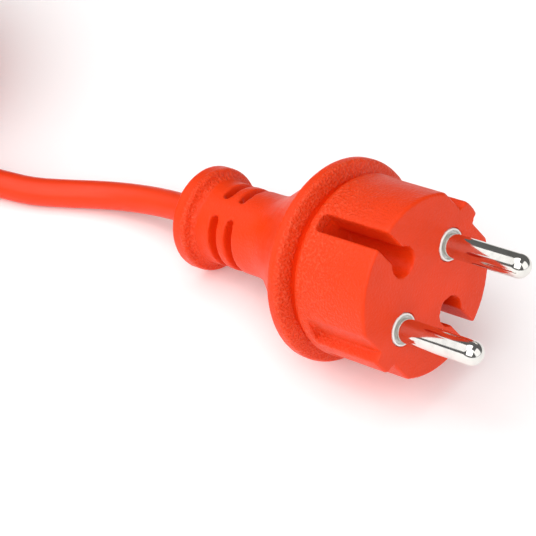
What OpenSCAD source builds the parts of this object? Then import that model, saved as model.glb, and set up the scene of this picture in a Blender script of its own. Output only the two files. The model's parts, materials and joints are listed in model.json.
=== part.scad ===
// Extension cord: moulded two-pin plug, sheathed cord put away in a tied coil, and a
// splash-proof coupler with a sprung lid. Millimetres, +Z up, the floor at z = 0. The origin is
// below the middle of the plug, which points along +X and lies on its flange and its collar.
// The plug and the coupler are each modelled on their own axis, with the face or the mouth at
// x = 0, and then laid down in place.

/* [Plug] */
// Radius of the plug's nose
nose_r = 18.25; // [18:0.05:18.4]
// Radius of the splash flange
flange_r = 20.5; // [20:0.1:22]
// Distance from the face to the back of the flange
flange_back = 23; // [22.5:0.1:23.5]
// Distance from the face to the back of the collar
tail_back = 59; // [58:0.5:64]
// How far the plug is rolled about its own axis, in degrees
plug_roll = 29.5; // [29:0.5:30]

/* [Pins] */
// Radius of a contact pin
pin_r = 2.4; // [2.38:0.01:2.42]
// Length of a contact pin in front of the face
pin_len = 19; // [18.5:0.1:19.5]
// Distance between the centres of the two pins
pin_pitch = 19; // [18.9:0.1:19.1]

/* [Earth keyholes] */
// Radius of the hole that clears a socket's earth pin
key_r = 3.075; // [3:0.025:3.1]
// Distance from the axis to the middle of the hole
key_offset = 9.9; // [9.8:0.05:10.1]
// Width of the slot from the hole to the outside
key_slot = 3.7; // [3.5:0.1:3.9]
// Depth of the hole and the slot behind the face
key_depth = 16; // [15:0.5:16]

/* [Handle] */
// Radius of the flexible neck
neck_r = 8.6; // [8.4:0.1:9]
// Radius of the collar at the end of the neck
collar_r = 10.75; // [10.5:0.05:11]
// Angle left whole between the ends of the strain-relief slots, in degrees
slot_gap = 28; // [24:1:34]

/* [Cord] */
// Diameter of the cord
cord_d = 6; // [6:0.1:6.1]
// Diameter of an insulated core
core_d = 2.4; // [2.2:0.1:2.5]
// Turns of cord side by side in one layer of the coil
coil_wide = 4; // [4:1:4]
// Layers of cord in the coil
coil_high = 6; // [6:1:6]
// Radius of the innermost turn, at the middle of the cord
coil_inner_r = 24; // [24:0.5:25]

/* [Coupler] */
// Radius of the coupler's head
head_r = 23; // [22.8:0.1:23.5]
// Length of the coupler's head
head_len = 26; // [26:0.5:28]
// Length of the coupler from its mouth to the back of its collar
coupler_len = 76; // [76:0.5:80]
// Radius of the recess that takes a plug's nose
recess_r = 19.75; // [19.5:0.05:20]
// Depth of that recess
recess_depth = 17.5; // [17:0.1:17.5]
// Radius of the holes that the pins pass through
pin_hole_r = 2.75; // [2.7:0.05:2.9]

/* [Hidden] */

skin = "OrangeRed";
gap = 0.05;              // clearance round the pieces that a body is moulded over
cord_r = cord_d / 2;
core_r = core_d / 2;
core_gap = 1.3;          // distance of each core from the middle of the cord
strand_r = 0.9;
shank_r = 2.1;           // the part of a pin that the bridge holds
shoulder_x = 0.2;
crimp_r = 1.9;
pin_y = pin_pitch / 2;
flange_front = flange_back - 2.9;
lip_r = 0.8;             // rounding of the flange and the collar

// The plug touches the floor with the lower back edges of its flange and its collar.
function tilt(r1, x1, r2, x2) = atan2(r1 - r2, x2 - x1);
function rise(r, x, t) = lip_r + (r - lip_r) * cos(t) + (x - lip_r) * sin(t);
plug_tilt = tilt(flange_r, flange_back, collar_r, tail_back);
plug_z = rise(flange_r, flange_back, plug_tilt);
tip_x = pin_len * cos(plug_tilt) + pin_r * (1 - cos(plug_tilt))
      + pin_y * sin(plug_roll) * sin(plug_tilt);
tail_x = (tail_back - lip_r) * cos(plug_tilt) + (collar_r - lip_r) * sin(plug_tilt) + lip_r;
plug_x = (tail_x - tip_x) / 2;

// The coil lies on the floor, raised by the thickness of its tie.
tie_t = 0.8;
coil_x = -145;
coil_y = -25;
coil_z = tie_t + 0.1;
coil_r1 = coil_inner_r - cord_r;
coil_r2 = coil_inner_r + (coil_wide - 0.5) * cord_d;
coil_top = coil_z + coil_high * cord_d;

// The coupler lies on the coil, on the lower back edges of its head and its collar.
coupler_tilt = tilt(head_r, head_len, collar_r, coupler_len);
coupler_x = -127 - coupler_len * cos(coupler_tilt);
coupler_y = -46;
coupler_z = coil_top + 0.1 + rise(head_r, head_len, coupler_tilt);

insert_front = recess_depth;
insert_plate = 0.6;
insert_back = 38;
contact_front = 21;
contact_back = 35.5;
crimp_end = 42;

hinge_x = 0.8;
hinge_z = head_r + 3.2;
knuckle_r = 2.4;
hinge_r = 1;
lid_t = 1.9;
lid_x = 1.3;

// Routes. Each starts and ends inside a moulding, along its axis. The other points are on the
// floor, on the way to the outermost turn of the coil, and on top of the coil.
function on_plug(x) = [plug_x - x * cos(plug_tilt), 0, plug_z - x * sin(plug_tilt)];
function on_coupler(x) =
    [coupler_x + x * cos(coupler_tilt), coupler_y, coupler_z - x * sin(coupler_tilt)];

run_route = concat([on_plug(40.3), on_plug(tail_back - 1), on_plug(tail_back + 5)], [
    [-49, -0.5, 7], [-53, -1.1, 5.9], [-57, -2.2, 5], [-61, -3.7, 4.2], [-65, -5.8, 3.6],
    [-70, -9, 3.1], [-76, -13.1, 3], [-82, -15.7, 3], [-89, -18.6, 3], [-95.5, -23.8, 3.2],
    [-100.8, -31, 3.6]]);
end_route = concat([
    [-126, 12.4, 36.6], [-114, 3.3, 37.4], [-106.2, -9.2, 38.6], [-103.2, -22, 39.9],
    [-106.2, -34, 41.3], [-114.6, -42.6, 43.4]],
    [on_coupler(coupler_len + 4), on_coupler(coupler_len - 1), on_coupler(54.3)]);

function unit(v) = v / norm(v);
function heading(p, i) = unit(p[min(i + 1, len(p) - 1)] - p[max(i - 1, 0)]);
function level(v) = unit(cross([0, 0, 1], v));

// A closed tube of n sides along the points p.
module tube(p, r, n) {
    m = len(p);
    points = [
        for (i = [0 : m - 1], k = [0 : n - 1])
            let (h = heading(p, i), s = level(h), u = cross(h, s), a = 360 * k / n)
                p[i] + r * (cos(a) * s + sin(a) * u)];
    sides = [
        for (i = [0 : m - 2], k = [0 : n - 1])
            let (a = i * n + k, b = i * n + (k + 1) % n)
                each [[a, b, b + n], [a, b + n, a + n]]];
    first = [for (k = [n - 1 : -1 : 0]) k];
    last = [for (k = [0 : n - 1]) (m - 1) * n + k];
    polyhedron(points, concat(sides, [first, last]), convexity = 8);
}

// Points along an arc, for outlines.
function arc(c, r, a0, a1, n) =
    [for (i = [0 : n]) let (a = a0 + (a1 - a0) * i / n) c + r * [cos(a), sin(a)]];

// Turns an outline of [radius, x] points about the X axis.
module turned(outline) rotate([0, 90, 0]) rotate_extrude($fn = 96) polygon(outline);

// A cylinder along X, from x0 to x1, at the distances y and z from the axis.
module rod(r, x0, x1, y = 0, z = 0) translate([x0, y, z]) rotate([0, 90, 0])
    cylinder(r = r, h = x1 - x0, $fn = 48);

// A box from one corner to the opposite one.
module block(a, b) translate(a) cube(b - a);

module on_both_sides() for (m = [0, 1]) mirror([0, m, 0]) children();

module lay_plug() translate([plug_x, 0, plug_z]) rotate([0, -plug_tilt, 0])
    rotate([plug_roll, 0, 0]) children();
module lay_coupler() translate([coupler_x, coupler_y, coupler_z]) rotate([0, 0, 180])
    rotate([0, -coupler_tilt, 0]) children();

// The neck, from where it leaves the flare to the back of the collar at x = -end.
function neck_outline(end) = concat(
    arc([neck_r + 2.2, 6.6 - end], 2.2, 180, 248, 5),
    [[collar_r - 0.35, 4.25 - end], [collar_r - 0.05, 3.8 - end], [collar_r, 3.2 - end]],
    arc([collar_r - lip_r, lip_r - end], lip_r, 0, -90, 4),
    [[0, -end]]);

// The outside of the plug, from its face to its collar.
nose_outline = concat([[0, 0]], arc([nose_r - 0.5, -0.5], 0.5, 90, 0, 3), [
    [nose_r, 2.9 - flange_front], [17.5, 2.7 - flange_front], [17.3, 0.9 - flange_front],
    [17.9, 0.5 - flange_front]]);
flange_outline = concat(
    arc([flange_r - 1, -1 - flange_front], 1, 75, 0, 3),
    arc([flange_r - lip_r, lip_r - flange_back], lip_r, 0, -90, 3),
    [[17.2, -flange_back], [17, -flange_back - 2.6]]);
flare_outline = arc([neck_r + 12, -41], 12, 142, 180, 5);
plug_outline = concat(nose_outline, flange_outline, flare_outline, neck_outline(tail_back));

// One strain-relief slot: a groove part of the way round with round ends.
module relief_slot(x, w) {
    end_angle = slot_gap / 2 + asin(w / 2 / neck_r);
    rotate([0, 90, 0]) rotate([0, 0, 180 + end_angle])
        rotate_extrude(angle = 180 - 2 * end_angle, $fn = 96)
            translate([neck_r - 2.3, x - w / 2]) square([4, w]);
    for (a = [end_angle, 180 - end_angle])
        rotate([a, 0, 0]) translate([x, 0, neck_r - 2.3]) cylinder(d = w, h = 4, $fn = 32);
}

// The slots round a neck whose collar ends at x = -end.
module relief_slots(end) for (s = [0, 180], x = [9.4, 13.7]) rotate([s, 0, 0])
    relief_slot(x - end, 2);

// A core's straight way from its crimp on a pin or contact to the cord, and more past each end.
module core_way(from, to, r, more = 0) {
    a = [-from, pin_y - 0.3, 0];
    b = [-to, core_gap, 0];
    translate(a) rotate([0, 90, atan2((b - a).y, (b - a).x)]) translate([0, 0, -more])
        cylinder(r = r, h = norm(b - a) + 2 * more, $fn = 32);
}

// Where the cores start behind the crimps, and where the cord ends inside the mouldings.
plug_crimp = 18;
plug_core_start = plug_crimp + 0.8;
plug_cord_end = 40;
coupler_core_start = crimp_end + 1;
coupler_cord_end = 54;
module plug_core(side) mirror([0, side, 0]) core_way(plug_core_start, plug_cord_end, core_r);
module coupler_core(side) mirror([0, side, 0])
    core_way(coupler_core_start, coupler_cord_end, core_r);

// The moulded body of the plug: nose, splash flange, flexible neck and collar.
module plug_body() color(skin) lay_plug() difference() {
    turned(plug_outline);
    guide_flats();
    for (m = [0, 1]) mirror([0, 0, m]) keyhole();
    relief_slots(tail_back);
    block([-9 - gap, -13 - gap, -4.5 - gap], [-4 + gap, 13 + gap, 4.5 + gap]);
    on_both_sides() {
        rod(bridge_ring_r + 0.02, -5, 1, pin_y);
        rod(crimp_r + 0.1, -plug_crimp - 1, -8, pin_y);
        core_way(plug_core_start, plug_cord_end, core_r + gap, 0.3);
    }
    rod(cord_r + 0.02, -tail_back - 1, -plug_cord_end);
}

// Flats at both ends of the pin line, which leave a guide rib standing in the middle.
module guide_flats() on_both_sides() difference() {
    block([-15.2, 16.05, -12], [1, 20, 12]);
    rotate([90, 0, 90]) translate([0, 0, -16]) linear_extrude(18)
        polygon([[15.5, -2.5], [18.4, -1.9], [18.4, 1.9], [15.5, 2.5]]);
}

// The hole and slot that let the plug into a socket with an earth pin.
module keyhole() {
    rod(key_r, -key_depth, 1, 0, key_offset);
    block([-key_depth, -key_slot / 2, key_offset + 1], [1, key_slot / 2, 22]);
}

// The hard white bridge that holds the pins, with a ring round each at the face.
bridge_ring_r = 3.28;
module pin_bridge() color("White") lay_plug() difference() {
    union() {
        block([-9, -13, -4.5], [-4, 13, 4.5]);
        on_both_sides() rod(bridge_ring_r, -6, 0.15, pin_y);
    }
    on_both_sides() {
        rod(shank_r, -10, 1, pin_y);
        rod(2.8, -0.5, 1, pin_y);
    }
}

// A contact pin with a round tip, a thinner shank in the bridge and a crimp barrel behind it.
module contact_pin(s) color("Silver") lay_plug() translate([0, s * pin_y, 0]) difference() {
    union() {
        rod(pin_r, shoulder_x, pin_len - pin_r);
        translate([pin_len - pin_r, 0, 0]) sphere(r = pin_r, $fn = 48);
        rod(shank_r, -9, shoulder_x + 0.1);
        rod(crimp_r, -plug_crimp, -8.5);
    }
    rod(strand_r, -plug_crimp - 1, -12);
}
module line_pin() contact_pin(1);
module neutral_pin() contact_pin(-1);

module plug_brown_core() color("SaddleBrown") lay_plug() plug_core(0);
module plug_blue_core() color("RoyalBlue") lay_plug() plug_core(1);
module plug_brown_strands() color("Peru") lay_plug()
    rod(strand_r, -plug_crimp - 0.5, -12, pin_y);
module plug_blue_strands() color("Peru") lay_plug()
    rod(strand_r, -plug_crimp - 0.5, -12, -pin_y);

// The cord from inside the plug's neck to the coil.
module cord_run() color(skin) tube(run_route, cord_r, 12);

// The room that the coil's turns take.
module cord_coil() color(skin) translate([coil_x, coil_y, 0])
    rotate_extrude($fn = 96) polygon(concat(
        arc([coil_r1 + 2, coil_z + 2], 2, 180, 270, 3),
        arc([coil_r2 - 2, coil_z + 2], 2, 270, 360, 3),
        arc([coil_r2 - 2, coil_top - 2], 2, 0, 90, 3),
        arc([coil_r1 + 2, coil_top - 2], 2, 90, 180, 3)));

// The cord from the top of the coil into the coupler's neck.
module cord_end_run() color(skin) tube(end_route, cord_r, 12);

// The strap round the bundle of turns, with its overlapping end.
tie_angle = 13;
tie_at = 130;
module tie_ring() rotate([0, 0, tie_at])
    rotate_extrude(angle = tie_angle, $fn = 96) difference() {
        rounded_box(coil_r1 - tie_t, coil_z - tie_t, coil_r2 + tie_t, coil_top + tie_t);
        rounded_box(coil_r1, coil_z, coil_r2, coil_top);
    }
module rounded_box(x0, z0, x1, z1) polygon(concat(
    arc([x0 + 2, z0 + 2], 2, 180, 270, 4), arc([x1 - 2, z0 + 2], 2, 270, 360, 4),
    arc([x1 - 2, z1 - 2], 2, 0, 90, 4), arc([x0 + 2, z1 - 2], 2, 90, 180, 4)));
module coil_tie() color("DimGray") translate([coil_x, coil_y, 0]) union() {
    tie_ring();
    rotate([0, 0, tie_at]) rotate_extrude(angle = tie_angle, $fn = 96)
        translate([coil_r1 + 5, coil_top + tie_t - 0.1]) square([14, tie_t + 0.1]);
}

// The moulded body of the coupler: head with the plug recess, hinge ears, neck and collar.
coupler_outline = concat([[0, 0]], arc([head_r - 0.5, -0.5], 0.5, 90, 0, 3), [
    [head_r, -5], [head_r - 0.7, -5.4], [head_r - 0.7, -6.4], [head_r, -6.8]],
    arc([head_r - lip_r, lip_r - head_len], lip_r, 0, -60, 3),
    [[19, -33]], arc([neck_r + 12, -53], 12, 142, 180, 5), neck_outline(coupler_len));
module coupler_body() color(skin) lay_coupler() difference() {
    union() {
        turned(coupler_outline);
        on_both_sides() hinge_ear();
    }
    rod(recess_r, -recess_depth - insert_plate, 1);
    relief_slots(coupler_len);
    rod(16 + gap, -insert_back + 6, -recess_depth + 0.5);
    block([-insert_back, -13.5 - gap, -5 - gap], [-recess_depth, 13.5 + gap, 5 + gap]);
    block([-insert_back - 3 - gap, -12.2 - gap, -4.4 - gap], [-insert_back, 12.2 + gap, 4.4 + gap]);
    on_both_sides() {
        rod(crimp_r + 0.1, -crimp_end - 0.8, -insert_back, pin_y);
        core_way(coupler_core_start, coupler_cord_end, core_r + gap, 0.3);
    }
    rod(cord_r + 0.02, -coupler_len - 1, -coupler_cord_end);
}

// One ear of the lid's hinge, with a hole that grips the pin.
module hinge_ear() difference() {
    union() {
        translate([hinge_x, 10, hinge_z]) rotate([90, 0, 0]) cylinder(r = knuckle_r, h = 4, $fn = 48);
        block([hinge_x - knuckle_r, 6, 19], [-0.2, 10, hinge_z]);
    }
    translate([hinge_x, 11, hinge_z]) rotate([90, 0, 0]) cylinder(r = hinge_r, h = 6, $fn = 48);
}

// The hard insert at the bottom of the recess, with a chamber for each contact.
module socket_insert() color("Gainsboro") lay_coupler() difference() {
    union() {
        rod(recess_r - 0.05, -insert_front - insert_plate, -insert_front);
        rod(16, -insert_back + 6, -insert_front - 0.3);
        block([-insert_back, -13.5, -5], [-insert_front - 1, 13.5, 5]);
        on_both_sides() block([-insert_front - 0.3, 16.3, -1.7], [-2, recess_r - 0.3, 1.7]);
    }
    on_both_sides() {
        rod(pin_hole_r, -contact_front - 1, 1, pin_y);
        rod(3.6, -insert_back - 1, -contact_front, pin_y);
    }
}

// The cap that closes the chambers behind the contacts.
module contact_retainer() color("WhiteSmoke") lay_coupler() difference() {
    block([-insert_back - 3, -12.2, -4.4], [-insert_back - 0.05, 12.2, 4.4]);
    on_both_sides() rod(crimp_r + 0.1, -insert_back - 4, -insert_back + 1, pin_y);
}

// A split spring sleeve that grips a pin, with a crimp barrel behind it.
module contact(s) color("Gold") lay_coupler() translate([0, s * pin_y, 0]) difference() {
    union() {
        rod(3.3, -contact_back, -contact_front - 0.3);
        rod(crimp_r, -crimp_end, -contact_back + 0.5);
    }
    rod(pin_r + 0.03, -contact_back + 1.5, 0);
    block([-contact_back + 3, -0.4, -4], [0, 0.4, 4]);
    rod(strand_r, -crimp_end - 1, -contact_back - 0.5);
}
module brown_contact() contact(1);
module blue_contact() contact(-1);

module coupler_brown_core() color("SaddleBrown") lay_coupler() coupler_core(0);
module coupler_blue_core() color("RoyalBlue") lay_coupler() coupler_core(1);
module coupler_brown_strands() color("Peru") lay_coupler()
    rod(strand_r, -crimp_end - 0.5, -contact_back - 0.5, pin_y);
module coupler_blue_strands() color("Peru") lay_coupler()
    rod(strand_r, -crimp_end - 0.5, -contact_back - 0.5, -pin_y);

// The lid that closes over the mouth, with its hinge knuckles and thumb tab.
module lid() color("DimGray") lay_coupler() difference() {
    union() {
        rod(head_r, lid_x, lid_x + lid_t);
        block([lid_x, -7, -head_r - 3.5], [lid_x + lid_t, 7, -head_r + 3]);
        block([lid_x, -5.7, 20], [lid_x + lid_t, 5.7, hinge_z]);
        translate([hinge_x, 5.7, hinge_z]) rotate([90, 0, 0])
            cylinder(r = knuckle_r, h = 11.4, $fn = 48);
    }
    translate([hinge_x, 12, hinge_z]) rotate([90, 0, 0])
        cylinder(r = hinge_r + 0.05, h = 24, $fn = 48);
    block([-3, -2.2, hinge_z - 3], [8, 2.2, hinge_z + 4]);
    difference() {
        rod(22.5, 0, lid_x + 0.5);
        rod(20.5, -1, lid_x + 2);
    }
}

// The soft ring set into the lid, which presses round the mouth.
module lid_seal() color("Black") lay_coupler() difference() {
    rod(22.45, 0.3, lid_x + 0.5);
    rod(20.55, -1, lid_x + 2);
}

module hinge_pin() color("Silver") lay_coupler() translate([hinge_x, 10.4, hinge_z])
    rotate([90, 0, 0]) cylinder(r = hinge_r, h = 20.8, $fn = 48);

// The torsion spring wound on the hinge pin, between the lid's knuckles.
spring_route = [
    for (i = [0 : 48]) let (a = 30 * i) [1.65 * cos(a), -1.7 + 3.4 * i / 48, 1.65 * sin(a)]];
module lid_spring() color("LightSlateGray") lay_coupler() translate([hinge_x, 0, hinge_z])
    tube(spring_route, 0.3, 8);

plug_body();
pin_bridge();
line_pin();
neutral_pin();
plug_brown_core();
plug_blue_core();
plug_brown_strands();
plug_blue_strands();
cord_run();
cord_coil();
cord_end_run();
coil_tie();
coupler_body();
socket_insert();
contact_retainer();
brown_contact();
blue_contact();
coupler_brown_core();
coupler_blue_core();
coupler_brown_strands();
coupler_blue_strands();
lid();
lid_seal();
hinge_pin();
lid_spring();
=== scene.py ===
"""Extension cord: moulded two-pin plug, sheathed cord tied in a coil, and a lidded coupler."""
import json
import logging
import math
from dataclasses import dataclass
from enum import Enum
from typing import Callable, Sequence

import bmesh
import bpy
from mathutils import Matrix, Vector


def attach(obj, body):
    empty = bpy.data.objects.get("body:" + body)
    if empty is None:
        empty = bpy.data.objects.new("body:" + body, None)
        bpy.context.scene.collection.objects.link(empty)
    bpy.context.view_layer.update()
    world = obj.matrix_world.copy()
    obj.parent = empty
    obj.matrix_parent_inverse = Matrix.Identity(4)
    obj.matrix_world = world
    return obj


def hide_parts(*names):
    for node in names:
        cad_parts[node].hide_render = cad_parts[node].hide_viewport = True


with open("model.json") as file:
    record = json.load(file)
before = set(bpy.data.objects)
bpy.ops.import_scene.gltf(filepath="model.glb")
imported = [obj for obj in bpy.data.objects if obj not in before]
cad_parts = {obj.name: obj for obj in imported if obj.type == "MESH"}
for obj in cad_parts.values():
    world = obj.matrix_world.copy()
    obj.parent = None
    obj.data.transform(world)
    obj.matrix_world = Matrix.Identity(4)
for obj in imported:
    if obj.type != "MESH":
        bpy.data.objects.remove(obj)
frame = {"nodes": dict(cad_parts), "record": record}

LOG = logging.getLogger("extension_cord")
MM = 0.001
# Points that are closer than this, in millimetres, become one.
SAME_POINT = 0.0005
# Edges that turn by more degrees than this are shaded as corners.
SHARP_ANGLE = 50
# How much deeper red light goes into the plastic than green and blue light.
SCATTER = (1.0, 0.25, 0.1)
PLASTIC_IOR = 1.5
Outline = list[tuple[float, float]]
Socket = bpy.types.NodeSocket


class Body(Enum):
    """The bodies that a piece can ride on."""

    ROOT = "root"
    LID = "lid"


class Slot(Enum):
    """The record's material slots."""

    ORANGE = "orange_pvc"
    CORD = "cord_pvc"
    WHITE = "white_plastic"
    GREY = "grey_plastic"
    BLACK = "black_plastic"
    SEAL = "black_rubber"
    STRAP = "black_strap"
    NICKEL = "nickel"
    BRASS = "brass"
    COPPER = "copper"
    BROWN = "brown_pvc"
    BLUE = "blue_pvc"
    STEEL = "steel"
    SPRING = "spring_steel"


class Way(Enum):
    """Which way a drawn metal's fine lines run, as stretch of its pattern along X, Y and Z."""

    ALONG_X = (0.05, 1.0, 1.0)
    ALONG_Y = (1.0, 0.05, 1.0)
    EVEN = (1.0, 1.0, 1.0)


# ---------------------------------------------------------------------------------- finishes


class Shader:
    """A material under construction: its Principled BSDF and the nodes that feed it."""

    def __init__(self, name: str) -> None:
        """Makes an empty material with its pattern coordinates ready.

        Args:
            name: Name of the material.
        """
        self.material = bpy.data.materials.new(name)
        self.material.use_nodes = True
        self.tree = self.material.node_tree
        self.bsdf = self.tree.nodes["Principled BSDF"]
        self.coords = self.node("ShaderNodeTexCoord").outputs["Object"]

    def node(self, kind: str, **inputs: object) -> bpy.types.Node:
        """Adds a node.

        Args:
            kind: Name of the node type.
            inputs: Values for its input sockets, by socket name with _ for a space.

        Returns:
            The new node.
        """
        node = self.tree.nodes.new(kind)
        for key, value in inputs.items():
            node.inputs[key.replace("_", " ")].default_value = value
        return node

    def link(self, source: Socket, target: Socket) -> None:
        """Connects an output to an input."""
        self.tree.links.new(source, target)

    def stretched(self, stretch: Sequence[float], turn: Sequence[float] = (0, 0, 0)) -> Socket:
        """Object coordinates, turned by turn in radians and scaled by stretch."""
        mapping = self.node("ShaderNodeMapping", Scale=stretch, Rotation=turn)
        self.link(self.coords, mapping.inputs["Vector"])
        return mapping.outputs["Vector"]

    def noise(self, size: float, detail: float = 2.0, where: Socket | None = None) -> Socket:
        """Smooth noise.

        Args:
            size: Size of its features, in millimetres.
            detail: How many finer octaves it has.
            where: Coordinates, or None for plain object coordinates.

        Returns:
            Its value socket, about 0.25 to 0.75.
        """
        noise = self.node("ShaderNodeTexNoise", Scale=1 / (size * MM), Detail=detail)
        self.link(where or self.coords, noise.inputs["Vector"])
        return noise.outputs["Fac"]

    def ranged(self, value: Socket, low: float, high: float, start: float = 0.3, end: float = 0.7) -> Socket:
        """Maps value from start..end to low..high, clamped."""
        ranged = self.node("ShaderNodeMapRange", From_Min=start, From_Max=end, To_Min=low, To_Max=high)
        self.link(value, ranged.inputs["Value"])
        return ranged.outputs["Result"]

    def product(self, a: Socket, b: Socket) -> Socket:
        """a times b."""
        node = self.node("ShaderNodeMath")
        node.operation = "MULTIPLY"
        self.link(a, node.inputs[0])
        self.link(b, node.inputs[1])
        return node.outputs[0]

    def attribute(self, name: str) -> Socket:
        """The value of one of the mesh's own attributes."""
        node = self.node("ShaderNodeAttribute")
        node.attribute_name = name
        return node.outputs["Fac"]

    def blend(self, factor: Socket, first: Sequence[float] | Socket, second: Sequence[float]) -> Socket:
        """A colour that goes from first, a colour or a socket, to second with factor."""
        mix = self.node("ShaderNodeMix")
        mix.data_type = "RGBA"
        from_colour, to_colour = (i for i in mix.inputs if i.type == "RGBA")
        if isinstance(first, Socket):
            self.link(first, from_colour)
        else:
            from_colour.default_value = (*first, 1)
        to_colour.default_value = (*second, 1)
        self.link(factor, mix.inputs["Factor"])
        return mix.outputs[2]

    def bump(self, height: Socket, depth: float, after: Socket | None = None) -> Socket:
        """A bumped normal.

        Args:
            height: Height of the surface, 0 to 1.
            depth: How far 1 stands above 0, in millimetres.
            after: A normal that this one adds to.

        Returns:
            The normal socket.
        """
        bump = self.node("ShaderNodeBump", Strength=1.0, Distance=depth * MM)
        self.link(height, bump.inputs["Height"])
        if after:
            self.link(after, bump.inputs["Normal"])
        return bump.outputs["Normal"]

    def finish(self, **values: object) -> bpy.types.Material:
        """Sets the BSDF's own sockets, or links them where a value is a socket.

        Args:
            values: Socket names with _ for a space, and a number, a colour or a socket.

        Returns:
            The material.
        """
        for key, value in values.items():
            socket = self.bsdf.inputs[key.replace("_", " ")]
            if isinstance(value, Socket):
                self.link(value, socket)
            else:
                socket.default_value = value
        return self.material


def shade(colour: Sequence[float], factor: float) -> tuple[float, ...]:
    """colour made darker or lighter by factor."""
    return tuple(min(1.0, c * factor) for c in colour)


@dataclass(frozen=True)
class Moulded:
    """Moulded plastic: a cloudy colour, a fine spark-eroded grain and faint flow marks; on a graded finish
    the grain's peaks are also painted paler, as a painted sparkle highlight.
    """

    name: str
    colour: tuple[float, float, float]
    roughness: float = 0.42
    grain_size: float = 0.42
    grain_depth: float = 0.03
    mottle: float = 0.06
    graded: bool = False
    glow: float = 0.0
    coat: float = 0.0
    shine: float = 0.5
    # Painted highlight: the colour that the grain's peaks are lightened towards as painted sparkle, and
    # (pale) how far the peaks go towards it.
    painted_glint: tuple[float, float, float] = (1.0, 0.2, 0.1)
    pale: float = 0.35

    def material(self) -> bpy.types.Material:
        """Builds the material."""
        s = Shader(self.name)
        cloud = s.ranged(s.noise(9.0, 3.0), 0, 1)
        colour = s.blend(cloud, shade(self.colour, 1 - self.mottle), shade(self.colour, 1 + self.mottle))
        grain = s.ranged(s.noise(self.grain_size, 3.0), 0, 1)
        # On a graded finish the grain's strength follows the mesh's grain mask, and its peaks are painted
        # paler: a painted sparkle highlight.
        if self.graded:
            grain = s.product(grain, s.attribute("grain"))
            colour = s.blend(s.ranged(grain, 0, self.pale, 0.35, 1), colour, self.painted_glint)
        flow = s.bump(s.noise(4.0, 1.0), 0.03)
        rough = s.ranged(s.noise(3.0, 4.0), self.roughness - 0.05, self.roughness + 0.06)
        return s.finish(
            Base_Color=colour,
            Roughness=rough,
            Normal=s.bump(grain, self.grain_depth, flow),
            Subsurface_Weight=self.glow,
            Subsurface_Radius=SCATTER,
            Subsurface_Scale=0.0012,
            Coat_Weight=self.coat,
            Coat_Roughness=0.12,
            Specular_IOR_Level=self.shine,
            IOR=PLASTIC_IOR,
        )


@dataclass(frozen=True)
class Sheath:
    """Extruded cord sheath: satin, with a faint wave of the laid-up cores and fine dust marks."""

    name: str
    colour: tuple[float, float, float]
    roughness: float = 0.36

    def material(self) -> bpy.types.Material:
        """Builds the material."""
        s = Shader(self.name)
        cloud = s.ranged(s.noise(14.0, 3.0), 0, 1)
        colour = s.blend(cloud, shade(self.colour, 0.95), shade(self.colour, 1.05))
        fine = s.bump(s.noise(0.35, 2.0), 0.006)
        wave = s.bump(s.noise(7.0, 1.0), 0.12, fine)
        rough = s.ranged(s.noise(1.6, 4.0), self.roughness - 0.04, self.roughness + 0.08)
        return s.finish(
            Base_Color=colour,
            Roughness=rough,
            Normal=wave,
            Subsurface_Weight=0.08,
            Subsurface_Radius=SCATTER,
            Subsurface_Scale=0.001,
            Specular_IOR_Level=0.28,
            IOR=PLASTIC_IOR,
        )


@dataclass(frozen=True)
class Metal:
    """Bare or plated metal with fine lines from drawing or polishing, and dull specks."""

    name: str
    colour: tuple[float, float, float]
    roughness: float
    way: Way = Way.EVEN
    line_size: float = 0.25
    line_depth: float = 0.002

    def material(self) -> bpy.types.Material:
        """Builds the material."""
        s = Shader(self.name)
        lines = s.noise(self.line_size, 3.0, s.stretched(self.way.value))
        specks = s.ranged(s.noise(2.2, 4.0), 0, 1, 0.45, 0.75)
        colour = s.blend(specks, self.colour, shade(self.colour, 0.86))
        rough = s.ranged(s.noise(1.2, 3.0), self.roughness * 0.75, self.roughness * 1.4)
        drawn = s.bump(lines, self.line_depth)
        return s.finish(Base_Color=colour, Metallic=1.0, Roughness=rough, Normal=drawn)


@dataclass(frozen=True)
class Stranded:
    """A bundle of fine copper wires, twisted round X."""

    name: str
    colour: tuple[float, float, float]
    wire: float = 0.25

    def material(self) -> bpy.types.Material:
        """Builds the material."""
        s = Shader(self.name)
        wires = s.node("ShaderNodeTexWave", Scale=1 / (self.wire * MM) / 6, Distortion=0.4)
        s.link(s.stretched((0.25, 1.0, 1.0), (0.0, 0.3, 0.3)), wires.inputs["Vector"])
        dull = s.ranged(s.noise(1.0, 3.0), 0, 1)
        colour = s.blend(dull, self.colour, shade(self.colour, 0.75))
        bundle = s.bump(wires.outputs["Fac"], self.wire / 3)
        return s.finish(Base_Color=colour, Metallic=1.0, Roughness=0.3, Normal=bundle)


@dataclass(frozen=True)
class Ribbed:
    """Rubber strap with fine ribs across it."""

    name: str
    colour: tuple[float, float, float]
    rib: float = 0.8

    def material(self) -> bpy.types.Material:
        """Builds the material."""
        s = Shader(self.name)
        ribs = s.node("ShaderNodeTexWave", Scale=1 / (self.rib * MM) / 6)
        ribs.bands_direction = "DIAGONAL"
        s.link(s.coords, ribs.inputs["Vector"])
        fine = s.bump(s.noise(0.3, 2.0), 0.02)
        cloud = s.ranged(s.noise(5.0, 3.0), 0, 1)
        colour = s.blend(cloud, shade(self.colour, 0.8), shade(self.colour, 1.4))
        return s.finish(
            Base_Color=colour,
            Roughness=s.ranged(cloud, 0.6, 0.75, 0, 1),
            Normal=s.bump(ribs.outputs["Fac"], 0.1, fine),
        )


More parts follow.
